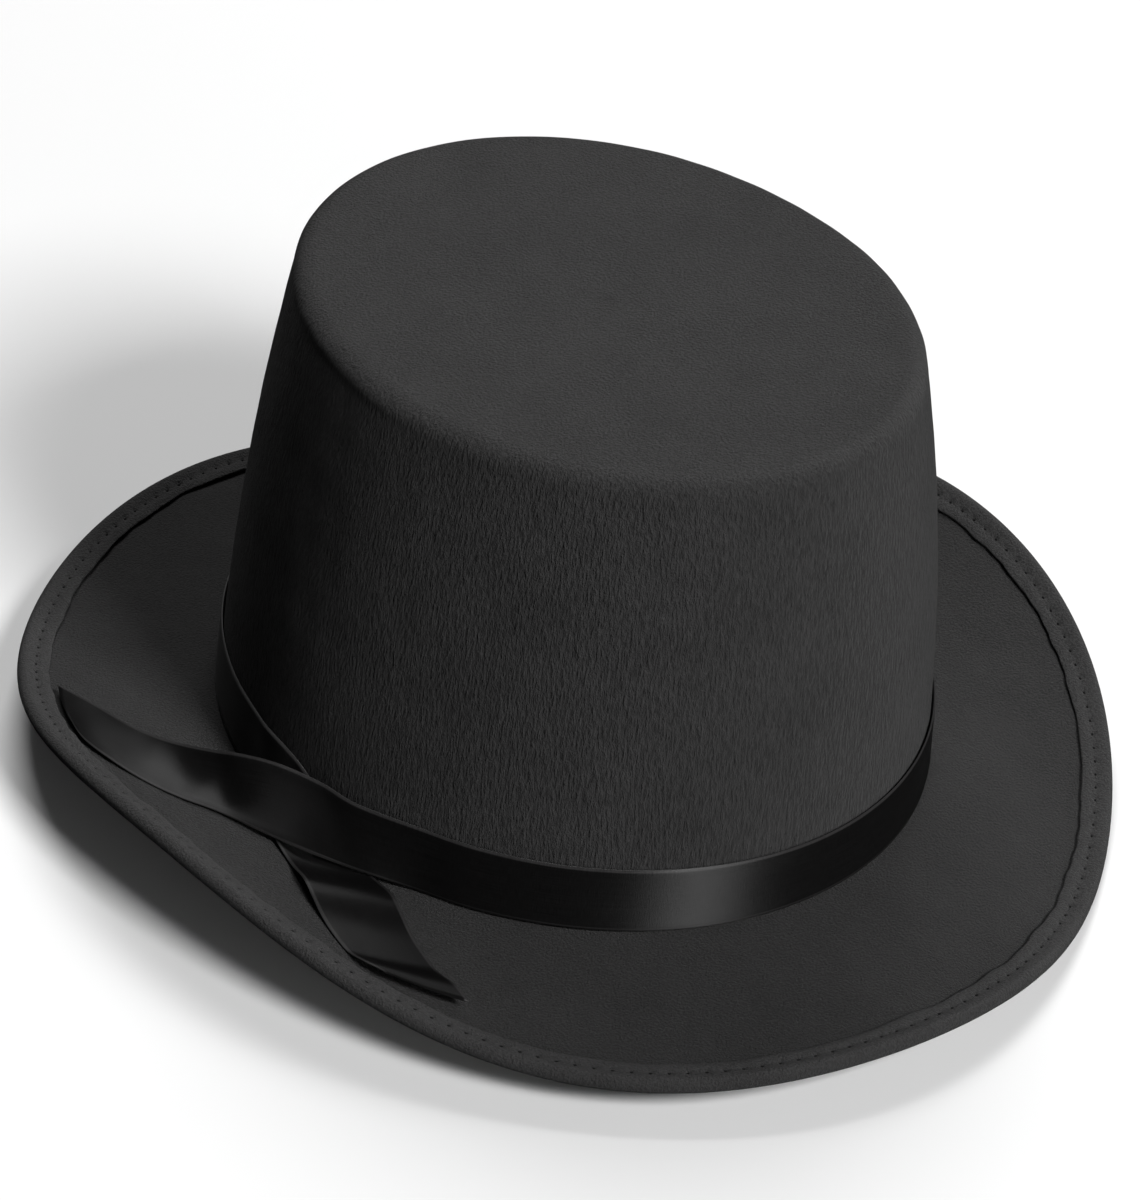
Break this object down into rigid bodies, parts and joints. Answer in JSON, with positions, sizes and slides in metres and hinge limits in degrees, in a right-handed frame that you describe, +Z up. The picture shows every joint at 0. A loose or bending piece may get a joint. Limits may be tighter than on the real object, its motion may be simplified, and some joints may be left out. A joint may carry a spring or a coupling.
{
  "type": "top hat",
  "caption": "Black felt top hat with a curled brim, a stitched turned-over hem and a satin ribbon whose ends cross on one side.",
  "frame": {"origin": "centre of the head opening, on the brim's middle surface where it meets the crown", "axes": "+Z up through the crown's top, +Y along the hat's long axis to the front, +X to the wearer's right, so the ribbon crosses on the wearer's left at -X"},
  "size_m": [0.2838, 0.3152, 0.1488],
  "materials": {
    "felt": "matt black stiffened felt with a short nap",
    "satin": "glossy black satin ribbon",
    "thread": "black sewing thread",
    "wire": "plain steel wire",
    "lining": "dark satin lining",
    "sweatband": "black woven cotton tape",
    "label": "plain woven label"
  },
  "bodies": {
    "root": {"crown_felt": "felt", "crown_lining": "lining", "brim_felt": "felt", "brim_wire": "wire", "hem_thread": "thread", "hat_band": "satin", "sweatband": "sweatband", "sweatband_thread": "thread", "size_label": "label"}
  },
  "joints": []
}
